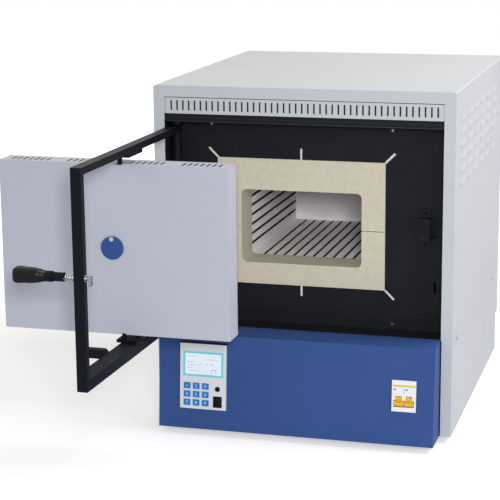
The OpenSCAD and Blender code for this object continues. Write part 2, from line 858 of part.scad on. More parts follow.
module far_tube() {
  color(c_black) from_corner() on_frame() difference() {
    box([frame_l - far_t / 2, -frame_t / 2, frame_z0], [frame_l + far_t / 2, frame_t / 2, frame_z1]);
    box([frame_l - far_t / 2 + tube_wall, -frame_t / 2 + tube_wall, frame_z0 + tube_wall],
      [frame_l + far_t / 2 - tube_wall, frame_t / 2 - tube_wall, frame_z1 - tube_wall]);
    for (z = [frame_z0 + low_h / 2, frame_z1 - top_h / 2])
      box([frame_l - far_t, -2, z - 2], [frame_l, 2, z + 2]);
    bar_y(frame_l, -frame_t, frame_t, latch_z, latch_bush_r);
  }
}

// hinge post between the tubes and the pin that runs through both bushes
module hinge_post() {
  color(c_black) from_corner() on_frame() union() {
    translate([0, 0, low_top]) cylinder(h = frame_z1 - top_h - low_top, r = post_r);
    translate([0, 0, floor_z - 10]) cylinder(h = ceiling_z + 5 - floor_z + 10, r = pin_r);
  }
}

// upper and lower pivot plate of the door, each with its pin
top_plate_z = frame_z1 - top_h - 5;
pin_in = 11;
module pivot_plates() {
  color(c_black) from_corner() on_frame() union() {
    box([pivot_s - 27, -pivot_out - 8, top_plate_z], [pivot_s + 27, frame_t / 2, frame_z1 - top_h]);
    translate([pivot_s, -pivot_out, door_z1 - pin_in])
      cylinder(h = top_plate_z - door_z1 + pin_in + eps, r = pivot_pin_r);
    box([pivot_s - 14, -pivot_out - 7, low_top], [pivot_s + 14, frame_t / 2, low_top + plate_t]);
    translate([pivot_s, -pivot_out, low_top + plate_t - eps])
      cylinder(h = door_z0 + pin_in - low_top - plate_t, r = pivot_pin_r);
  }
}

module stop_bracket() {
  stop_y = -frame_t / 2 - low_side;
  color(c_black) from_corner() on_frame() union() {
    rotate([0, 90, 0]) translate([0, 0, stop_s - 6]) linear_extrude(height = 12)
      polygon([[-low_top + 8, stop_y], [-low_top - 1, stop_y], [-low_top - 5, stop_y - 4],
        [-low_top - 5, stop_y - stop_l], [-low_top + 8, stop_y - stop_l]]);
    translate([stop_s, stop_y - stop_l + eps, low_top - 1.5]) rotate([90, 0, 0]) cylinder(h = 8, r = 7.5);
  }
}

module latch_bush() {
  color(c_steel) from_corner() on_frame() difference() {
    bar_y(frame_l, -frame_t / 2 - bush_out, frame_t / 2 + bush_out, latch_z, latch_bush_r);
    bar_y(frame_l, -frame_t, frame_t, latch_z, latch_r + run);
  }
}

// door panel, drawn around its pivot axis
dx0 = -door_left;
dx1 = door_w - door_left;
dy0 = -door_face;
dy1 = door_t - door_face;
plug_x = 32;
plug_z = 22;
vent_groups = 4;
vent_slots = 7;
module door_shell() {
  color(c_casing) from_corner() on_door() difference() {
    box([dx0, dy0, door_z0], [dx1, dy1 - sheet, door_z1]);
    box([dx0 + sheet, dy0 + sheet, door_z0 + sheet], [dx1 - sheet, dy1, door_z1 - sheet]);
    for (g = [0 : vent_groups - 1], k = [0 : vent_slots - 1]) {
      x = (dx0 + dx1) / 2 + (g - 1.5) * door_w / 4 + (k - 3) * 9;
      if (abs(x) > 12)
        for (z = [door_z0, door_z1]) box([x - 2, 2, z - 3], [x + 2, dy1 - 11, z + 3]);
    }
    for (z = [door_z0, door_z1]) translate([0, 0, z - 3]) cylinder(h = 6, r = pivot_pin_r + 1);
    for (z = [door_z0, door_z1])
      box([-pivot_pin_r - 1, dy0 - 1, z - 2], [pivot_pin_r + 1, 0, z + 2]);
    bar_y(peep_x, dy0 - 1, dy0 + 3, peep_z, peep_bore_r);
    bar_y(peep_x, dy0 - 1, dy0 + 3, peep_screw_z, peep_screw_r);
  }
}

module door_rear() {
  color(c_steel) from_corner() on_door() difference() {
    box([dx0, dy1 - sheet, door_z0], [dx1, dy1, door_z1]);
    box([dx0 + plug_x, 0, door_z0 + plug_z], [dx1 - plug_x, door_t, door_z1 - plug_z]);
  }
}

module door_insulation() {
  color(c_board) from_corner() on_door() difference() {
    union() {
      box([dx0 + 14, dy0 + sheet, door_z0 + 13], [dx1 - 14, dy1 - sheet, door_z1 - 13]);
      box([dx0 + plug_x, dy1 - sheet - eps, door_z0 + plug_z], [dx1 - plug_x, dy1, door_z1 - plug_z]);
    }
    bar_y(peep_x, dy0 - 1, dy1 + 1, peep_z, peep_bore_r);
    bar_y(peep_x, dy0 - 1, dy0 + 8, peep_screw_z, peep_screw_r);
  }
}

// bearing blocks of the pivot pins and the door's stud for the link
module door_pivots() {
  color(c_steel) from_corner() on_door() union() {
    difference() {
      union() {
        box([-9, dy0 + sheet, door_z0 + sheet], [9, 10, door_z0 + 13]);
        box([-9, dy0 + sheet, door_z1 - 13], [9, 10, door_z1 - sheet]);
      }
      cylinder(h = body_h, r = pivot_pin_r + run);
    }
    translate([link_dx, link_dy, link_z - 0.3]) cylinder(h = door_z0 - link_z + 0.3, r = stud_r);
    translate([link_dx, link_dy, door_z0 + sheet]) cylinder(h = 8, r = stud_r + 2);
  }
}

module peephole_cover() {
  color(c_blue) from_corner() on_door() difference() {
    bar_y(peep_x, dy0 - peep_gap - peep_t, dy0 - peep_gap, peep_z, peep_r);
    bar_y(peep_x, dy0 - 10, dy0, peep_screw_z, peep_screw_r + run);
  }
}

module peephole_screw() {
  color(c_steel) from_corner() on_door() union() {
    bar_y(peep_x, dy0 - peep_gap - 4, dy0 - peep_gap - 2.3, peep_screw_z, 1.7 * peep_screw_r);
    bar_y(peep_x, dy0 - peep_gap - 2.4, dy0 + 7, peep_screw_z, peep_screw_r);
  }
}

// flat bar parallel to the frame, between the fixed stud and the door's stud
module link_bar() {
  reach = sqrt(pivot_s * pivot_s + pivot_out * pivot_out);
  color(c_black) from_corner() translate([link_x, link_y, link_z])
    rotate([0, 0, -rest_open - atan(pivot_out / pivot_s)]) difference() {
      union() {
        box([0, -4, 0], [reach, 4, link_t]);
        for (x = [0, reach]) translate([x, 0, 0]) cylinder(h = link_t, r = 5.5);
      }
      for (x = [0, reach]) translate([x, 0, -1]) cylinder(h = link_t + 2, r = stud_r + run);
    }
}

function spring_mid(k) = let(a = 360 * k / spring_rings)
  [spring_r * cos(a), spring_r * sin(a), spring_wire + k * spring_rise];
spring_n = spring_curls * spring_rings;
spring_rise = (spring_l - 2 * spring_wire) / spring_n;
function spring_point(k, j) = let(a = 360 * k / spring_rings, b = 360 * j / spring_sides)
  spring_mid(k) + spring_wire * [cos(b) * cos(a), cos(b) * sin(a), sin(b)];
spring_points = [for (k = [0 : spring_n], j = [0 : spring_sides - 1]) spring_point(k, j)];
spring_faces = concat(
  [for (k = [0 : spring_n - 1], j = [0 : spring_sides - 1]) let(n = (j + 1) % spring_sides)
    [k * spring_sides + j, (k + 1) * spring_sides + j, k * spring_sides + n]],
  [for (k = [0 : spring_n - 1], j = [0 : spring_sides - 1]) let(n = (j + 1) % spring_sides)
    [k * spring_sides + n, (k + 1) * spring_sides + j, (k + 1) * spring_sides + n]],
  [for (j = [1 : spring_sides - 2]) [0, j, j + 1]],
  [for (j = [1 : spring_sides - 2]) spring_n * spring_sides * [1, 1, 1] + [0, j + 1, j]]);
spring_gap = min([for (j = [0 : spring_sides - 1], i = [0 : spring_sides - 1])
  norm(spring_point(0, j) - spring_point(spring_rings, i))]);
echo("least gap of the spring to itself", spring_gap);
module latch_spring() {
  color(c_steel) from_corner() on_frame() translate([frame_l, -frame_t / 2 - bush_out, latch_z])
    rotate([90, 0, 0]) polyhedron(points = spring_points, faces = spring_faces, convexity = 8);
}

sleeve_y = -frame_t / 2 - bush_out - spring_l;
sleeve_l = 25;
collar_l = 8;
module latch_sleeve() {
  color(c_steel) from_corner() on_frame() difference() {
    union() {
      bar_y(frame_l, sleeve_y - sleeve_l + collar_l, sleeve_y, latch_z, 6.2);
      bar_y(frame_l, sleeve_y - sleeve_l, sleeve_y - sleeve_l + collar_l + eps, latch_z, 7.5);
    }
    bar_y(frame_l, sleeve_y - sleeve_l - 1, sleeve_y + 1, latch_z, latch_r + run);
    bar_y(frame_l, sleeve_y - 8, sleeve_y + 1, latch_z, 5.5);
  }
}

// rod through the tube with the hook that turns in behind the keeper
module latch_rod() {
  color(c_steel) from_corner() on_frame() union() {
    bar_y(frame_l, sleeve_y - sleeve_l - grip_bore, hook_y + hook_t, latch_z, latch_r);
    round_block_y(frame_l - latch_r, frame_l + latch_r, hook_y, hook_y + hook_t,
      latch_z - hook_l, latch_z + latch_r + 0.5, 2);
  }
}
grip_bore = 35;
hook_y = frame_t / 2 + 5;
hook_t = 4;
hook_l = 10;
keeper_front = 2.5;
keeper_y = hinge_y + hook_y - hook_gap - keeper_front;

module latch_grip() {
  color(c_black) from_corner() on_frame() translate([frame_l, sleeve_y - sleeve_l, latch_z])
    rotate([90, 0, 0]) rotate_extrude() polygon([[latch_r, 0], [6.5, 0], [8, 2], [8.8, 9], [9.6, 17],
      [10.6, 27], [11.6, 38], [11.4, 43], [9.6, 46], [5, 47], [0, 47],
      [0, grip_bore], [latch_r, grip_bore]]);
}

outer_casing();
rear_panel();
base_pan();
chamber_shelf();
vent_strip();
fascia();
recess_liner();
front_plate();
plate_screws();
side_screws();
mouth_upper();
mouth_lower();
tile_floor();
tile_roof();
tile_sides();
tile_rear();
heating_wires();
insulation_boards();
thermocouple();
console_panel();
controller_bezel();
controller_housing();
screen_frame();
screen();
controller_ports();
breaker_body();
breaker_toggle();
mounting_rail();
solid_state_relay();
feet();
cable_gland();
hinge_bushes();
latch_keeper();
link_bracket();
frame_tubes();
far_tube();
hinge_post();
pivot_plates();
stop_bracket();
latch_bush();
door_shell();
door_rear();
door_insulation();
door_pivots();
peephole_cover();
peephole_screw();
link_bar();
latch_spring();
latch_sleeve();
latch_rod();
latch_grip();
key_1();
key_2();
key_3();
key_4();
key_5();
key_6();
key_7();
key_8();
key_9();
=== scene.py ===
import json
import math

import bmesh
import bpy
from mathutils import Matrix, Vector


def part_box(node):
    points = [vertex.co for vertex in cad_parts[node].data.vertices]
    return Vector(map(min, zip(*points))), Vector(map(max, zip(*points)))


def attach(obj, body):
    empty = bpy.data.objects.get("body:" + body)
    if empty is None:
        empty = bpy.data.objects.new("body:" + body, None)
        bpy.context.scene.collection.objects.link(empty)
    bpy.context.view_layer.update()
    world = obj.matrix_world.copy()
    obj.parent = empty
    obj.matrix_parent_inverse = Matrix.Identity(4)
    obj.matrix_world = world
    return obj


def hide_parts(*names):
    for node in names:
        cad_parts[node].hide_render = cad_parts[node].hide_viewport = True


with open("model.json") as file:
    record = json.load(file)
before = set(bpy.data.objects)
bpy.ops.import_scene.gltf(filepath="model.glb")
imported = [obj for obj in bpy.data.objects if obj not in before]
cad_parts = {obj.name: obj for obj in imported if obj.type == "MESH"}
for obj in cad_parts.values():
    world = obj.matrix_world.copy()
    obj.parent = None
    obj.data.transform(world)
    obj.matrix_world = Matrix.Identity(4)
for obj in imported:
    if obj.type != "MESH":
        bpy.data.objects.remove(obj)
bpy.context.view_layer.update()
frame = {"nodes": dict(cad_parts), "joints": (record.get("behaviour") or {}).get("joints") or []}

nodes = frame["nodes"]
MM = 0.001

# Sizes of the CAD part that the added pieces are placed by, in millimetres,
# measured from the casing's front left bottom corner.
CASING_W, CASING_D, FOOT_H = 460, 520, 10
SHEET = 1.5
RECESS_D, RECESS_Z0, RECESS_Z1 = 42, 150, 464.5
HINGE_X, HINGE_Y = 30, 20
FRAME_L, REST_OPEN = 394, math.radians(91)
LATCH_X, LATCH_Z, GRIP_Y = 417.5, 309, -47.1
STRIP_X0, STRIP_X1, STRIP_Z0, STRIP_H = 20, 442, 477, 25
STRIP_SLOTS, SLOT_W, SLOT_H, SLOT_INSET = 45, 2.5, 0.6 * STRIP_H, 7.2
SLOT_PITCH = (STRIP_X1 - STRIP_X0 - 2 * SLOT_INSET) / (STRIP_SLOTS - 0.74)
MOUTH_X, MOUTH_W, MOUTH_Y, SEAM_Z = 219, 261, 40, 300.75
OPENING_X, OPENING_W = 219.5, 188
SCREW_HEAD = 2

# Places on the console: x as above, v up its slope, w out of it.
CONSOLE_X0, CONSOLE_LOW = 17.5, 56
CONSOLE_LEAN = math.atan(12 / 147)
CONTROLLER_X, CONTROLLER_V = CONSOLE_X0 + 71, 82.5
BEZEL_W, BEZEL_H = 73, 101
SCREEN_X0, SCREEN_X1 = CONTROLLER_X - 28.5, CONTROLLER_X + 29
SCREEN_V0, SCREEN_V1 = CONTROLLER_V + 3, CONTROLLER_V + 35.5
KEY_X, KEY_V = CONTROLLER_X - 25.3, CONTROLLER_V - 15
KEY_PITCH_X, KEY_PITCH_V = 14.5, 13
BREAKER_X, BREAKER_V = CASING_W - 62, 75.5
BREAKER_W, BREAKER_H = 36, 45
TOGGLE_V, TOGGLE_W = 65.5, -1
KEY_FACE, SCREEN_FACE, BREAKER_FACE = 3.8, 2.6, 3.0
SKIN = 0.15  # how far printed marks stand off the face that carries them


def corner(x, y, z):
    """A point measured from the casing's corner, in metres in the row frame."""
    return Vector(((x - CASING_W / 2) * MM, (y - CASING_D / 2) * MM, (z + FOOT_H) * MM))


def on_console(x, v, w):
    """A point on the sloping console, in metres in the row frame."""
    y = -CONSOLE_LOW + v * math.sin(CONSOLE_LEAN) - w * math.cos(CONSOLE_LEAN)
    return corner(x, y, v * math.cos(CONSOLE_LEAN) + w * math.sin(CONSOLE_LEAN))


# materials

GRAIN_DEPTH, GRIT_DEPTH = 0.0004, 0.0006  # metres
ROUGH_DRIFT = 0.06
COAT_ROUGH = 0.25


def new_material(name):
    mat = bpy.data.materials.new(name)
    mat.use_nodes = True
    tree = mat.node_tree
    tree.nodes.clear()
    out = tree.nodes.new("ShaderNodeOutputMaterial")
    bsdf = tree.nodes.new("ShaderNodeBsdfPrincipled")
    tree.links.new(bsdf.outputs[0], out.inputs[0])
    return mat, tree, bsdf


def add_noise(tree, scale, detail, stretch=(1, 1, 1)):
    coord = tree.nodes.new("ShaderNodeTexCoord")
    mapping = tree.nodes.new("ShaderNodeMapping")
    mapping.inputs["Scale"].default_value = stretch
    noise = tree.nodes.new("ShaderNodeTexNoise")
    noise.inputs["Scale"].default_value = scale
    noise.inputs["Detail"].default_value = detail
    tree.links.new(coord.outputs["Object"], mapping.inputs[0])
    tree.links.new(mapping.outputs[0], noise.inputs["Vector"])
    return noise


def add_ramp(tree, source, stops):
    ramp = tree.nodes.new("ShaderNodeValToRGB")
    while len(ramp.color_ramp.elements) < len(stops):
        ramp.color_ramp.elements.new(0.5)
    for element, (place, colour) in zip(ramp.color_ramp.elements, stops):
        element.position = place
        element.color = (*colour, 1)
    tree.links.new(source, ramp.inputs[0])
    return ramp


def add_bump(tree, bsdf, height, strength, depth):
    node = tree.nodes.new("ShaderNodeBump")
    node.inputs["Strength"].default_value = strength
    node.inputs["Distance"].default_value = depth
    tree.links.new(height, node.inputs["Height"])
    tree.links.new(node.outputs[0], bsdf.inputs["Normal"])


def add_math(tree, operation, first, second):
    """A maths node; each input is a socket or a number."""
    node = tree.nodes.new("ShaderNodeMath")
    node.operation = operation
    for socket, value in zip(node.inputs, (first, second)):
        if isinstance(value, (int, float)):
            socket.default_value = value
        else:
            tree.links.new(value, socket)
    return node


def srgb(r, g, b):
    """A colour as seen in the photograph, 0 to 255, turned into a linear one."""
    return tuple(c / 12.92 if c <= 0.04045 else ((c + 0.055) / 1.055) ** 2.4
                 for c in (r / 255, g / 255, b / 255))


def shade(colour, k):
    return tuple(min(1, c * k) for c in colour)


def surface(name, colour, rough, vary=0.06, scale=60, metal=0.0, bump=0.0, bump_scale=900,
            coat=0.0, specular=0.5, stretch=(1, 1, 1)):
    """A finish with slow colour drift, uneven gloss and a fine grain."""
    mat, tree, bsdf = new_material(name)
    noise = add_noise(tree, scale, 5, stretch)
    ramp = add_ramp(tree, noise.outputs[0],
                    [(0.3, shade(colour, 1 - vary)), (0.7, shade(colour, 1 + vary))])
    tree.links.new(ramp.outputs[0], bsdf.inputs["Base Color"])
    gloss = tree.nodes.new("ShaderNodeMapRange")
    gloss.inputs["To Min"].default_value = rough - ROUGH_DRIFT
    gloss.inputs["To Max"].default_value = rough + ROUGH_DRIFT
    tree.links.new(noise.outputs[0], gloss.inputs[0])
    tree.links.new(gloss.outputs[0], bsdf.inputs["Roughness"])
    bsdf.inputs["Metallic"].default_value = metal
    bsdf.inputs["Specular IOR Level"].default_value = specular
    bsdf.inputs["Coat Weight"].default_value = coat
    bsdf.inputs["Coat Roughness"].default_value = COAT_ROUGH
    if bump:
        grain = add_noise(tree, bump_scale, 3, stretch)
        add_bump(tree, bsdf, grain.outputs[0], bump, GRAIN_DEPTH)
    return mat


def sheet_paint(name, colour):
    """Light powder coat on thin sheet: fine orange peel over slow dents."""
    vary, rough, specular, relief = 0.015, 0.48, 0.12, 0.10
    peel_scale, dent_scale, dent_share = 1500, 14, 6.0
    mat, tree, bsdf = new_material(name)
    drift = add_noise(tree, 5, 2)
    ramp = add_ramp(tree, drift.outputs[0],
                    [(0.3, shade(colour, 1 - vary)), (0.7, shade(colour, 1 + vary))])
    tree.links.new(ramp.outputs[0], bsdf.inputs["Base Color"])
    bsdf.inputs["Roughness"].default_value = rough
    bsdf.inputs["Specular IOR Level"].default_value = specular
    peel = add_noise(tree, peel_scale, 2)
    dents = add_noise(tree, dent_scale, 1)
    both = add_math(tree, "MULTIPLY_ADD", dents.outputs[0], dent_share)
    tree.links.new(peel.outputs[0], both.inputs[2])
    add_bump(tree, bsdf, both.outputs[0], relief, GRAIN_DEPTH)
    return mat


def speckled(name, base, dark, light, scale, speck_scale, bump, specks=0.70):
    """Fired ceramic: soft mottling, small dark specks and a gritty face."""
    edge, speck_shade, rough, specular, grit = 0.06, 0.55, 0.92, 0.15, 2.2
    mat, tree, bsdf = new_material(name)
    mottle = add_noise(tree, scale, 6)
    colour = add_ramp(tree, mottle.outputs[0], [(0.25, dark), (0.5, base), (0.8, light)])
    spots = add_noise(tree, speck_scale, 2)
    mask = add_ramp(tree, spots.outputs[0], [(specks, (0, 0, 0)), (specks + edge, (1, 1, 1))])
    mix = tree.nodes.new("ShaderNodeMix")
    mix.data_type = "RGBA"
    tree.links.new(mask.outputs[0], mix.inputs["Factor"])
    tree.links.new(colour.outputs[0], mix.inputs["A"])
    mix.inputs["B"].default_value = (*shade(dark, speck_shade), 1)
    tree.links.new(mix.outputs["Result"], bsdf.inputs["Base Color"])
    bsdf.inputs["Roughness"].default_value = rough
    bsdf.inputs["Specular IOR Level"].default_value = specular
    grain = add_noise(tree, speck_scale * grit, 4)
    add_bump(tree, bsdf, grain.outputs[0], bump, GRIT_DEPTH)
    return mat


def display_material():
    """A lit display: pale, slightly blue, with a very soft drift."""
    mat, tree, bsdf = new_material("display_face")
    noise = add_noise(tree, 30, 2)
    ramp = add_ramp(tree, noise.outputs[0],
                    [(0.35, srgb(228, 239, 248)), (0.65, srgb(238, 246, 252))])
    tree.links.new(ramp.outputs[0], bsdf.inputs["Base Color"])
    bsdf.inputs["Roughness"].default_value = 0.18
    bsdf.inputs["Coat Weight"].default_value = 0.4
    return mat


M = {
    "casing": sheet_paint("casing_paint", srgb(186, 191, 197)),
    "door": sheet_paint("door_paint", srgb(178, 182, 194)),
    "hidden_sheet": surface("hidden_sheet", (0.30, 0.31, 0.33), 0.5, 0.05, 20, metal=0.6),
    # black powder coat, and painted shade in the vent slots
    "black": surface("black_powder_coat_and_slot_shade", (0.0108, 0.0112, 0.0146), 0.52, 0.12, 30,
                     bump=0.25, bump_scale=1800, specular=0.08),
    "frame": surface("frame_powder_coat", (0.0045, 0.0050, 0.0082), 0.44, 0.12, 30,
                     bump=0.2, bump_scale=1500, specular=0.09),
    "blue": surface("console_paint", srgb(52, 79, 135), 0.46, 0.03, 12, bump=0.06,
                    bump_scale=1500, specular=0.10),
    "mouth": speckled("mouth_ceramic", srgb(202, 194, 176), srgb(197, 188, 169),
                      srgb(207, 199, 182), 130, 640, 0.35, specks=0.66),
    "tile": speckled("grooved_tile", srgb(249, 246, 245), srgb(243, 240, 239),
                     srgb(252, 250, 250), 160, 420, 0.3, specks=0.64),
    "rear_tile": speckled("rear_tile", srgb(250, 246, 250), srgb(246, 241, 246),
                          srgb(252, 249, 252), 60, 500, 0.2, specks=0.74),
    "board": speckled("fibre_board", (0.760, 0.730, 0.660), (0.680, 0.640, 0.560),
                      (0.840, 0.820, 0.760), 18, 300, 0.4),
    "steel": surface("plain_steel", (0.520, 0.520, 0.540), 0.32, 0.06, 40, metal=1.0,
                     bump=0.04, stretch=(1, 1, 8)),
    "dull_screw": surface("blackened_screw", (0.060, 0.060, 0.065), 0.35, 0.10, 60, metal=0.8,
                          bump=0.05),
    "bright": surface("bright_steel", (0.560, 0.560, 0.580), 0.24, 0.05, 60, metal=1.0, bump=0.03),
    "rod": surface("rod_steel", (0.300, 0.300, 0.320), 0.26, 0.08, 60, metal=1.0, bump=0.03),
    "shadow_line": surface("joint_shadow", (0.030, 0.026, 0.022), 0.90, 0.2, 200, specular=0.1),
    # near black: oxide on the heating wires, and painted shade in gaps, slots and screw recesses
    "wire": surface("oxidised_wire_and_painted_shade", (0.006, 0.006, 0.007), 0.75, 0.2, 90, bump=0.2, specular=0.08),
    "bezel": surface("bezel_plastic", srgb(212, 214, 219), 0.50, 0.02, 30, bump=0.12,
                     bump_scale=2200, specular=0.3),
    "cyan": surface("screen_surround", srgb(104, 204, 224), 0.40, 0.03, 30, bump=0.05),
    "key": surface("key_plastic", srgb(22, 120, 198), 0.42, 0.04, 40, bump=0.08, specular=0.35),
    # dark plastic parts, and painted shade in the gaps beside the console
    "dark_plastic": surface("dark_plastic", (0.0095, 0.0095, 0.0120), 0.40, 0.10, 50, bump=0.15,
                            specular=0.12),
    "grip": surface("grip_plastic", (0.0034, 0.0034, 0.0050), 0.32, 0.08, 40, bump=0.05,
                    specular=0.15, coat=0.08),
    "white_plastic": surface("breaker_plastic", srgb(226, 225, 232), 0.40, 0.02, 40, bump=0.05,
                             specular=0.3),
    "yellow": surface("toggle_plastic", srgb(224, 176, 52), 0.42, 0.04, 40, bump=0.05, specular=0.3),
    "rubber": surface("foot_rubber", (0.018, 0.018, 0.019), 0.80, 0.15, 50, bump=0.3),
    "display": display_material(),
    "screen_ink": surface("screen_ink", srgb(150, 172, 196), 0.30, 0.08, 300),
    "key_ink": surface("key_ink", srgb(214, 226, 240), 0.50, 0.05, 300),
    "stripe": surface("breaker_stripe_ink", srgb(205, 190, 60), 0.45, 0.05, 200),
    # painted highlight on the fascia's folds
    "painted_fold_highlight": surface("fold_highlight", (0.0200, 0.0210, 0.0260), 0.40, 0.15, 200, specular=0.2),
    "green": surface("indicator_green", srgb(70, 130, 110), 0.35, 0.05, 200),
}

LOOKS = {
    "casing": ["outer_casing", "vent_strip"],
    "hidden_sheet": ["rear_panel", "base_pan", "chamber_shelf", "mounting_rail"],
    "door": ["door_shell"],
    "black": ["fascia", "recess_liner", "front_plate", "latch_keeper", "link_bracket", "link_bar"],
    "frame": ["frame_tubes", "far_tube", "hinge_post", "pivot_plates", "stop_bracket",
              "latch_sleeve", "hinge_bushes"],
    "blue": ["console_panel", "peephole_cover"],
    "mouth": ["mouth_upper", "mouth_lower"],
    "tile": ["tile_floor", "tile_roof", "tile_sides"],
    "rear_tile": ["tile_rear"],
    "board": ["insulation_boards", "door_insulation"],
    "steel": ["side_screws", "thermocouple", "door_rear", "door_pivots", "peephole_screw"],
    "dull_screw": ["plate_screws"],
    "bright": ["latch_bush", "latch_spring"],
    "rod": ["latch_rod"],
    "wire": ["heating_wires"],
    "bezel": ["controller_bezel"],
    "cyan": ["screen_frame"],
    "display": ["screen"],
    "key": ["key_%d" % k for k in range(1, 10)],
    "dark_plastic": ["controller_ports", "controller_housing", "solid_state_relay", "cable_gland"],
    "grip": ["latch_grip"],
    "white_plastic": ["breaker_body"],
    "yellow": ["breaker_toggle"],
    "rubber": ["feet"],
}
for look, members in LOOKS.items():
    for n in members:
        nodes[n].data.materials.clear()
        nodes[n].data.materials.append(M[look])

# rounded edges that catch the light, in metres
EDGES = {
    "outer_casing": 0.0005, "door_shell": 0.0010, "console_panel": 0.0010, "vent_strip": 0.0003,
    "far_tube": 0.0012, "frame_tubes": 0.0012, "controller_bezel": 0.0008, "breaker_body": 0.0006,
    "breaker_toggle": 0.0004, "latch_keeper": 0.0006, "mouth_upper": 0.0010, "mouth_lower": 0.0010,
    "fascia": 0.0004, "stop_bracket": 0.0010, "pivot_plates": 0.0006, "peephole_cover": 0.0005,
}
KEY_EDGE, LEVER_EDGE = 0.0009, 0.0004
SHARPEST_LEFT = math.radians(40)
for k in range(1, 10):
    EDGES["key_%d" % k] = KEY_EDGE


def round_edges(piece, width):
    bevel = piece.modifiers.new("edge", "BEVEL")
    bevel.width = width
    bevel.segments = 2
    bevel.limit_method = "ANGLE"
    bevel.angle_limit = SHARPEST_LEFT


for n, width in EDGES.items():
    round_edges(nodes[n], width)

# the oxide crust that makes the heating wires look wider than the bare metal
CRUST = 0.0005
crust = nodes["heating_wires"].modifiers.new("crust", "DISPLACE")
crust.mid_level = 0
crust.strength = CRUST


# printed marks and small trim

def new_piece(name, bm, look, body):
    """Turns a bmesh into a piece that rides a body and takes a slot's finish."""
    bmesh.ops.recalc_face_normals(bm, faces=bm.faces)
    mesh = bpy.data.meshes.new(name)
    bm.to_mesh(mesh)
    bm.free()
    mesh.materials.append(M[look])
    piece = bpy.data.objects.new(name, mesh)
    bpy.context.scene.collection.objects.link(piece)
    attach(piece, body)
    return piece


def add_block(bm, low, high, place=corner):
    """A block between two corners, each turned into a point by the given function."""
    ends = list(zip(low, high))
    v = [bm.verts.new(place(ends[0][i], ends[1][j], ends[2][k]))
         for i in (0, 1) for j in (0, 1) for k in (0, 1)]
    for face in ((0, 1, 3, 2), (4, 6, 7, 5), (0, 4, 5, 1), (2, 3, 7, 6), (0, 2, 6, 4), (1, 5, 7, 3)):
        bm.faces.new([v[i] for i in face])


def raised_marks(name, boxes, face, look):
    """Flat bars printed on a face of the console, each (x0, v0, x1, v1), joined into one mesh."""
    bm = bmesh.new()
    for x0, v0, x1, v1 in boxes:
        add_block(bm, (x0, v0, face - SKIN), (x1, v1, face + SKIN), on_console)
    new_piece(name, bm, look, "kiln")


def screen_lines():
    """Generic rows, an open box and three dashes on the display, no readable text."""
    bars = []
    rows, row_pitch, row_h = [(3, 17), (32, 20), (3, 12), (8, 14), (3, 9), (6, 16)], 4.6, 0.5
    for row, (start, length) in enumerate(rows):
        v = SCREEN_V1 - 4 - row * row_pitch
        bars.append((SCREEN_X0 + start, v - row_h, SCREEN_X0 + start + length, v))
    side, line = 6.5, 0.7
    x, v = SCREEN_X1 - 16, SCREEN_V0 + 1.5
    bars += [(x, v, x + line, v + side), (x + side, v, x + side + line, v + side),
             (x, v + side - line, x + side + line, v + side)]
    dash_w, dash_h, dash_pitch = 4, 0.8, 8
    for k in range(3):
        x, v = SCREEN_X0 + 24 + dash_pitch * k, SCREEN_V0 + 16
        bars.append((x, v, x + dash_w, v + dash_h))
    raised_marks("screen_lines", bars, SCREEN_FACE, "screen_ink")


def key_digits():
    """The digits 1 to 9, one on each key."""
    size, relief = 6.0, 0.12
    for k in range(1, 10):
        column, row = (k - 1) % 3, (k - 1) // 3
        curve = bpy.data.curves.new("digit_%d" % k, "FONT")
        curve.body = str(k)
        curve.size = size * MM
        curve.extrude = relief * MM
        curve.align_x = "CENTER"
        curve.align_y = "CENTER"
        source = bpy.data.objects.new("digit_%d_source" % k, curve)
        mesh = bpy.data.meshes.new_from_object(source)
        bpy.data.objects.remove(source)
        place = on_console(KEY_X + column * KEY_PITCH_X, KEY_V - row * KEY_PITCH_V, KEY_FACE)
        turn = Matrix.Rotation(math.pi / 2 - CONSOLE_LEAN, 4, "X")
        mesh.transform(Matrix.Translation(place) @ turn)
        mesh.materials.clear()
        mesh.materials.append(M["key_ink"])
        piece = bpy.data.objects.new("digit_%d" % k, mesh)
        bpy.context.scene.collection.objects.link(piece)
        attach(piece, "key_%d" % k)


def breaker_trim():
    """Coloured stripe, position windows, the joint of the poles and the face round the levers."""
    left, right = BREAKER_X - BREAKER_W / 2 + 1, BREAKER_X + BREAKER_W / 2 - 1
    top = BREAKER_V + BREAKER_H / 2
    raised_marks("breaker_stripe", [(left, top - 8.6, right, top - 5.6)], BREAKER_FACE,
                 "stripe")
    window_w, window_x = 4, (-15.5, 2.0)
    raised_marks("breaker_windows",
                 [(BREAKER_X + x, top - 13.6, BREAKER_X + x + window_w, top - 11.6) for x in window_x],
                 BREAKER_FACE, "green")
    joint, sunk = 0.25, 0.05
    raised_marks("breaker_joint", [(BREAKER_X - joint, BREAKER_V + 4, BREAKER_X + joint, top - 10)],
                 BREAKER_FACE - sunk, "shadow_line")
    # white fillers round the levers: x0, x1, v0, v1 from the toggle's axis, and the depth they start at
    rim, side, middle = 15.4, 12.4, 3.0
    deep, shallow, face = -7.8, -0.5, 2.9
    fillers = [(-rim, rim, -11.9, -6.9, deep), (-rim, rim, 9.8, 11.9, deep),
               (-rim, -side, 3.6, 9.8, shallow), (-middle, middle, 3.6, 9.8, shallow),
               (side, rim, 3.6, 9.8, shallow)]
    bm = bmesh.new()
    for x0, x1, v0, v1, start in fillers:
        add_block(bm, (BREAKER_X + x0, TOGGLE_V + v0, start), (BREAKER_X + x1, TOGGLE_V + v1, face),
                  on_console)
    new_piece("breaker_lip", bm, "white_plastic", "kiln")


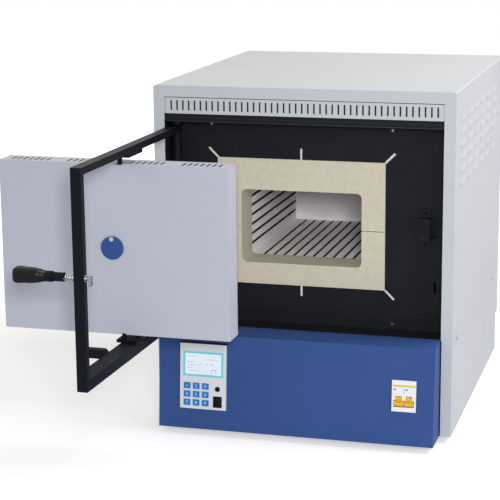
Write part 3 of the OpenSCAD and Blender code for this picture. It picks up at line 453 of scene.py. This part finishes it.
def breaker_levers():
    """Two levers: a wide curved foot across each pole and a narrower tab above it, as in the photo."""
    rest, sides = math.radians(60), 16
    pole_x, foot_half, core_half, tab_half = 7.7, 7.4, 7.0, 4.4
    foot_r, foot_start, foot_end = 6.4, -98, 4
    core_r, core_start, core_end = 3.2, 5, 95
    tab_t, tab_start, tab_end = 2.2, 1, 9.2
    bm = bmesh.new()

    def add_wedge(x0, x1, radius, start, end):
        """A sector of a drum round the toggle's axis, in degrees from straight out."""
        turns = [math.radians(start + (end - start) * k / sides) for k in range(sides + 1)]
        caps = []
        for x in (x0, x1):
            rim = [bm.verts.new(on_console(BREAKER_X + x, TOGGLE_V + radius * math.sin(a),
                                           TOGGLE_W + radius * math.cos(a))) for a in turns]
            middle = bm.verts.new(on_console(BREAKER_X + x, TOGGLE_V, TOGGLE_W))
            caps.append([middle] + rim)
        bm.faces.new(caps[0])
        bm.faces.new(caps[1][::-1])
        count = len(caps[0])
        for k in range(count):
            n = (k + 1) % count
            bm.faces.new((caps[0][k], caps[0][n], caps[1][n], caps[1][k]))

    def on_lever(x, thick, along):
        """A point on a tab: across it, through its thickness, and along it from the axis."""
        v = along * math.sin(rest) + thick * math.cos(rest)
        w = along * math.cos(rest) - thick * math.sin(rest)
        return on_console(BREAKER_X + x, TOGGLE_V + v, TOGGLE_W + w)

    for pole in (-pole_x, pole_x):
        add_wedge(pole - foot_half, pole + foot_half, foot_r, foot_start, foot_end)
        add_wedge(pole - core_half, pole + core_half, core_r, core_start, core_end)
        add_block(bm, (pole - tab_half, -tab_t, tab_start), (pole + tab_half, tab_t, tab_end), on_lever)
    piece = new_piece("breaker_levers", bm, "yellow", "toggle")
    round_edges(piece, LEVER_EDGE)
    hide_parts("breaker_toggle")


def mouth_seam():
    """The dark joint of the two mouth blocks, on both sides of the opening."""
    half, inset = 0.3, 0.1
    front, back = MOUTH_Y + 0.05, MOUTH_Y + 0.8
    left, right = MOUTH_X - MOUTH_W / 2, MOUTH_X + MOUTH_W / 2
    bm = bmesh.new()
    for x0, x1 in ((left, OPENING_X - OPENING_W / 2), (OPENING_X + OPENING_W / 2, right)):
        add_block(bm, (x0 + inset, front, SEAM_Z - half), (x1 - inset, back, SEAM_Z + half))
    new_piece("mouth_seam", bm, "shadow_line", "kiln")


def dark_backs():
    """Black sheet set into the vent slots as painted shade, and the pocket behind the plate's latch
    window.
    """
    lap = 0.1
    z0 = STRIP_Z0 + (STRIP_H - SLOT_H) / 2 - lap
    z1 = z0 + SLOT_H + 2 * lap
    bm = bmesh.new()
    for k in range(STRIP_SLOTS):
        x = STRIP_X0 + SLOT_INSET + k * SLOT_PITCH
        add_block(bm, (x - lap, 0.5, z0), (x + SLOT_W + lap, 2 * SHEET + 0.3, z1))
    new_piece("vent_slot_shade", bm, "black", "kiln")
    half_w, half_h, deep, wall = 12.3, 14.8, 6, 0.8
    x0, x1, z0, z1 = LATCH_X - half_w, LATCH_X + half_w, LATCH_Z - half_h, LATCH_Z + half_h
    y0 = RECESS_D + SHEET
    y1 = y0 + deep
    bm = bmesh.new()
    add_block(bm, (x0, y1, z0), (x1, y1 + wall, z1))
    add_block(bm, (x0, y0, z0), (x1, y1, z0 + wall))
    add_block(bm, (x0, y0, z1 - wall), (x1, y1, z1))
    add_block(bm, (x0, y0, z0), (x0 + wall, y1, z1))
    add_block(bm, (x1 - wall, y0, z0), (x1, y1, z1))
    new_piece("latch_pocket", bm, "black", "kiln")


def fascia_folds():
    """Lighter bars painted as the highlights on the fascia's folds, above the recess."""
    bm = bmesh.new()
    for rise, high in ((0.3, 1.3), (6.2, 0.5)):
        z0 = RECESS_Z1 + rise
        add_block(bm, (STRIP_X0 + 1, SHEET - 0.2, z0), (STRIP_X1 - 1, SHEET + 0.1, z0 + high))
    new_piece("fascia_folds", bm, "painted_fold_highlight", "kiln")


def strip_gap():
    """The dark gap between the vent strip's top edge and the casing's flange."""
    top, wide = STRIP_Z0 + STRIP_H, 1
    bm = bmesh.new()
    add_block(bm, (STRIP_X0, 0.4, top - wide), (STRIP_X1, SHEET, top))
    new_piece("strip_gap", bm, "shadow_line", "kiln")


def bezel_gasket():
    """A black strip painted as the shade along the top and the left side of the controller's bezel."""
    out, under, w0, w1 = 0.8, 0.3, 0.02, 2.0
    x0, x1 = CONTROLLER_X - BEZEL_W / 2, CONTROLLER_X + BEZEL_W / 2
    top = CONTROLLER_V + BEZEL_H / 2
    bm = bmesh.new()
    add_block(bm, (x0 - out, top - under, w0), (x1 + 0.4, top + 2.4, w1), on_console)
    add_block(bm, (x0 - out, top - BEZEL_H + 1, w0), (x0 + under, top - under, w1), on_console)
    new_piece("bezel_gasket", bm, "wire", "kiln")


def console_seals():
    """Dark strips painted as the shade in the gaps between the console's sides and the casing."""
    near, far = 0.1, 1.6
    right = CASING_W - CONSOLE_X0
    bm = bmesh.new()
    for x0, x1 in ((CONSOLE_X0 - far, CONSOLE_X0 - near), (right + near, right + far)):
        add_block(bm, (x0, -1.2, 1), (x1, -0.1, RECESS_Z0 - 1))
    new_piece("console_seals", bm, "dark_plastic", "kiln")


def plate_screw_sockets():
    """Small bright steel discs in the heads of the plate screws, standing in for their glints: painted
    highlight.
    """
    radius, sides, deep, proud = 1.1, 6, 0.1, 0.15
    face = RECESS_D - SHEET - 1.6
    spots = [(80, RECESS_Z0 + 9.6), (CASING_W - 98, RECESS_Z0 + 9.6),
             (80, RECESS_Z1 - 7), (CASING_W - 100, RECESS_Z1 - 9)]
    turns = [2 * math.pi * k / sides for k in range(sides)]
    bm = bmesh.new()
    for x, z in spots:
        rim = [(x + radius * math.cos(a), z + radius * math.sin(a)) for a in turns]
        low = [bm.verts.new(corner(u, face + deep, w)) for u, w in rim]
        high = [bm.verts.new(corner(u, face - proud, w)) for u, w in rim]
        bm.faces.new(high)
        for k in range(sides):
            n = (k + 1) % sides
            bm.faces.new((low[k], low[n], high[n], high[k]))
    new_piece("plate_screw_sockets", bm, "bright", "kiln")


def grip_handle():
    """The moulded grip: a stepped neck that swells into a four-sided end with soft corners."""
    turn = -REST_OPEN
    ahead = Vector((math.sin(turn), -math.cos(turn), 0))
    foot = corner(HINGE_X + FRAME_L * math.cos(turn) - GRIP_Y * math.sin(turn),
                  HINGE_Y + FRAME_L * math.sin(turn) + GRIP_Y * math.cos(turn), LATCH_Z)
    side = Vector((ahead.y, -ahead.x, 0))
    rise = Vector((0, 0, 1))
    # distance along the grip, radius, and how square the section is
    stations = [(0, 5.6, 0), (0, 6.6, 0), (3, 6.8, 0), (3.2, 7.8, 0.05), (9, 8.1, 0.1),
                (9.3, 8.9, 0.15), (13, 9.6, 0.3), (19, 10.4, 0.45), (26, 10.8, 0.6), (30, 10.5, 0.7),
                (34, 11.0, 0.8), (40, 11.4, 0.85), (44, 11.0, 0.85), (46.2, 9.6, 0.8), (47, 7.0, 0.6),
                (47, 0.01, 0)]
    sides = 48
    round_power, square_power, swell, shrink = 2, 2.2, 0.9, 0.03
    bm = bmesh.new()
    rings = []
    for along, radius, square in stations:
        power = round_power + square_power * square
        ring = []
        for k in range(sides):
            a = 2 * math.pi * k / sides
            stretch = (abs(math.cos(a)) ** power + abs(math.sin(a)) ** power) ** (-1 / power)
            grow = radius * (1 + (stretch - 1) * swell) * (1 - shrink * square)
            out = (side * math.cos(a) + rise * math.sin(a)) * grow
            ring.append(bm.verts.new(foot + (ahead * along + out) * MM))
        rings.append(ring)
    for first, second in zip(rings, rings[1:]):
        for k in range(sides):
            n = (k + 1) % sides
            bm.faces.new((first[k], first[n], second[n], second[k]))
    bm.faces.new(rings[0])
    bm.faces.new(rings[-1][::-1])
    piece = new_piece("grip_handle", bm, "grip", "latch_handle")
    piece.data.shade_smooth()
    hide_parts("latch_grip")


def in_metres(x, y, z):
    """A point that is already given in metres in the row frame."""
    return Vector((x, y, z))


def door_slot_backs():
    """Black sheet set into the slots of the door's top and bottom edges, clear of the pivot, as painted
    shade in the slots.
    """
    low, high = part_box("door_shell")
    pivot = next(j for j in frame["joints"] if j["name"] == "door_turn")["pos_m"]
    groups, slots, pitch, half, clear = 4, 7, 9 * MM, 2.1 * MM, 12 * MM
    skin, deep = 0.5 * MM, 1.8 * MM
    centre, width = (low[0] + high[0]) / 2, high[0] - low[0]
    front, back = pivot[1] + 2 * MM, high[1] - (11 - SHEET) * MM
    bm = bmesh.new()
    for group in range(groups):
        middle = centre + (group - (groups - 1) / 2) * width / groups
        for k in range(slots):
            x = middle + (k - (slots - 1) / 2) * pitch
            if abs(x - pivot[0]) <= clear:
                continue
            for z0, z1 in ((low[2] + skin, low[2] + deep), (high[2] - deep, high[2] - skin)):
                add_block(bm, (x - half, front, z0), (x + half, back, z1), in_metres)
    new_piece("door_slot_backs", bm, "wire", "door")


def side_screw_slots():
    """Dark crosses sunk in the heads of the casing screws, painted as the shade in their cross slots.
    """
    reach, half, half_deep, sunk = 2.3, 0.35, 0.08, 0.09
    out = SCREW_HEAD - sunk
    z = RECESS_Z0 - 5.6
    bm = bmesh.new()
    for x in (-out, CASING_W + out):
        for y in (40, CASING_D - 84):
            for a, b in ((reach, half), (half, reach)):
                add_block(bm, (x - half_deep, y - a, z - b), (x + half_deep, y + a, z + b))
    new_piece("side_screw_slots", bm, "wire", "kiln")


screen_lines()
key_digits()
breaker_trim()
breaker_levers()
mouth_seam()
dark_backs()
fascia_folds()
strip_gap()
bezel_gasket()
console_seals()
plate_screw_sockets()
grip_handle()
door_slot_backs()
side_screw_slots()


# studio

FLOOR_NEAR, FLOOR_FAR = 0.75, 1.6  # the floor fades into the white background between these
FLOOR_LIFT = 0.48  # white added to the floor as the camera sees it
FLOOR_DARK, FLOOR_PALE = (0.63, 0.63, 0.67), (0.65, 0.65, 0.69)
AMBIENT, BACKGROUND = 0.36, 1.0


def floor_and_backdrop():
    """A pale floor that catches the shadow and turns transparent away from the kiln."""
    mesh = bpy.data.meshes.new("studio_floor")
    bm = bmesh.new()
    bmesh.ops.create_grid(bm, x_segments=2, y_segments=2, size=4)
    bm.to_mesh(mesh)
    bm.free()
    floor = bpy.data.objects.new("studio_floor", mesh)
    bpy.context.scene.collection.objects.link(floor)
    mat, tree, bsdf = new_material("floor_white")
    noise = add_noise(tree, 0.6, 2)
    ramp = add_ramp(tree, noise.outputs[0], [(0.3, FLOOR_DARK), (0.7, FLOOR_PALE)])
    tree.links.new(ramp.outputs[0], bsdf.inputs["Base Color"])
    bsdf.inputs["Roughness"].default_value = 0.9
    bsdf.inputs["Specular IOR Level"].default_value = 0.1
    coord = tree.nodes.new("ShaderNodeTexCoord")
    far = tree.nodes.new("ShaderNodeVectorMath")
    far.operation = "LENGTH"
    tree.links.new(coord.outputs["Object"], far.inputs[0])
    fade = tree.nodes.new("ShaderNodeMapRange")
    fade.interpolation_type = "SMOOTHSTEP"
    fade.inputs["From Min"].default_value = FLOOR_NEAR
    fade.inputs["From Max"].default_value = FLOOR_FAR
    tree.links.new(far.outputs["Value"], fade.inputs[0])
    clear = tree.nodes.new("ShaderNodeBsdfTransparent")
    mix = tree.nodes.new("ShaderNodeMixShader")
    tree.links.new(fade.outputs[0], mix.inputs[0])
    tree.links.new(bsdf.outputs[0], mix.inputs[1])
    tree.links.new(clear.outputs[0], mix.inputs[2])
    out = next(n for n in tree.nodes if n.bl_idname == "ShaderNodeOutputMaterial")
    glow = tree.nodes.new("ShaderNodeEmission")
    path = tree.nodes.new("ShaderNodeLightPath")
    lift = add_math(tree, "MULTIPLY", path.outputs["Is Camera Ray"], FLOOR_LIFT)
    tree.links.new(lift.outputs[0], glow.inputs["Strength"])
    both = tree.nodes.new("ShaderNodeAddShader")
    tree.links.new(mix.outputs[0], both.inputs[0])
    tree.links.new(glow.outputs[0], both.inputs[1])
    tree.links.new(both.outputs[0], out.inputs[0])
    floor.data.materials.append(mat)


def world_light():
    """Soft light from all sides; the camera, gloss and glass see plain white instead."""
    world = bpy.data.worlds.new("studio")
    bpy.context.scene.world = world
    world.use_nodes = True
    tree = world.node_tree
    tree.nodes.clear()
    out = tree.nodes.new("ShaderNodeOutputWorld")
    soft = tree.nodes.new("ShaderNodeBackground")
    white = tree.nodes.new("ShaderNodeBackground")
    for sky, strength in ((soft, AMBIENT), (white, BACKGROUND)):
        sky.inputs["Color"].default_value = (1, 1, 1, 1)
        sky.inputs["Strength"].default_value = strength
    path = tree.nodes.new("ShaderNodeLightPath")
    seen = path.outputs["Is Camera Ray"]
    for kind in ("Is Glossy Ray", "Is Transmission Ray"):
        seen = add_math(tree, "MAXIMUM", seen, path.outputs[kind]).outputs[0]
    mix = tree.nodes.new("ShaderNodeMixShader")
    tree.links.new(seen, mix.inputs[0])
    tree.links.new(soft.outputs[0], mix.inputs[1])
    tree.links.new(white.outputs[0], mix.inputs[2])
    tree.links.new(mix.outputs[0], out.inputs[0])


def area_light(name, place, target, size, power, colour):
    data = bpy.data.lights.new(name, "AREA")
    data.size = size
    data.energy = power
    data.color = colour
    lamp = bpy.data.objects.new(name, data)
    lamp.location = place
    lamp.rotation_mode = "QUATERNION"
    lamp.rotation_quaternion = (Vector(target) - Vector(place)).to_track_quat("-Z", "Y")
    bpy.context.scene.collection.objects.link(lamp)


WHITE, WARM, YELLOWISH = (1, 1, 1), (0.99, 0.91, 0.93), (1.0, 1.0, 0.45)
# name, place, what it points at, side in metres, power in watts, colour
LAMPS = [
    ("front_light", (0.68, -2.58, 1.0), (0, -0.2, 0.32), 0.35, 31, WHITE),
    ("left_light", (-1.6, -2.4, 2.2), (0, 0, 0.25), 1.6, 8, WHITE),
    ("right_light", (1.7, 0.3, 2.2), (0.1, 0, 0.35), 1.5, 55, WARM),
    ("fill_light", (2.6, -2.2, 1.3), (0, -0.3, 0.3), 1.0, 18, WHITE),
    ("top_light", (0.1, 0.3, 3.0), (0, 0, 0.3), 2.2, 12, YELLOWISH),
]

CAMERA_PLACE = (0.5847, -2.5943, 0.8272)
CAMERA_YAW, CAMERA_PITCH, CAMERA_ROLL = 15.900, 12.663, -0.537
SENSOR, FOCAL_PIXELS, PICTURE_SIDE = 36, 1640.86, 500
CLIP_NEAR, CLIP_FAR = 0.05, 100


def photo_camera():
    """The camera fitted to the photograph: turned to the left, tilted down and rolled a little."""
    yaw, pitch, roll = (math.radians(a) for a in (CAMERA_YAW, CAMERA_PITCH, CAMERA_ROLL))
    right = Vector((math.cos(yaw), math.sin(yaw), 0))
    ahead = Vector((-math.sin(yaw) * math.cos(pitch), math.cos(yaw) * math.cos(pitch),
                    -math.sin(pitch)))
    up = right.cross(ahead)
    right_r = right * math.cos(roll) + up * math.sin(roll)
    up_r = up * math.cos(roll) - right * math.sin(roll)
    data = bpy.data.cameras.new("photo_camera")
    data.sensor_width = SENSOR
    data.lens = SENSOR * FOCAL_PIXELS / PICTURE_SIDE
    data.clip_start = CLIP_NEAR
    data.clip_end = CLIP_FAR
    cam = bpy.data.objects.new("photo_camera", data)
    turn = Matrix((right_r, up_r, -ahead)).transposed().to_4x4()
    cam.matrix_world = Matrix.Translation(CAMERA_PLACE) @ turn
    bpy.context.scene.collection.objects.link(cam)
    bpy.context.scene.camera = cam


floor_and_backdrop()
world_light()
for lamp in LAMPS:
    area_light(*lamp)
photo_camera()
bpy.context.scene.view_settings.view_transform = "Standard"
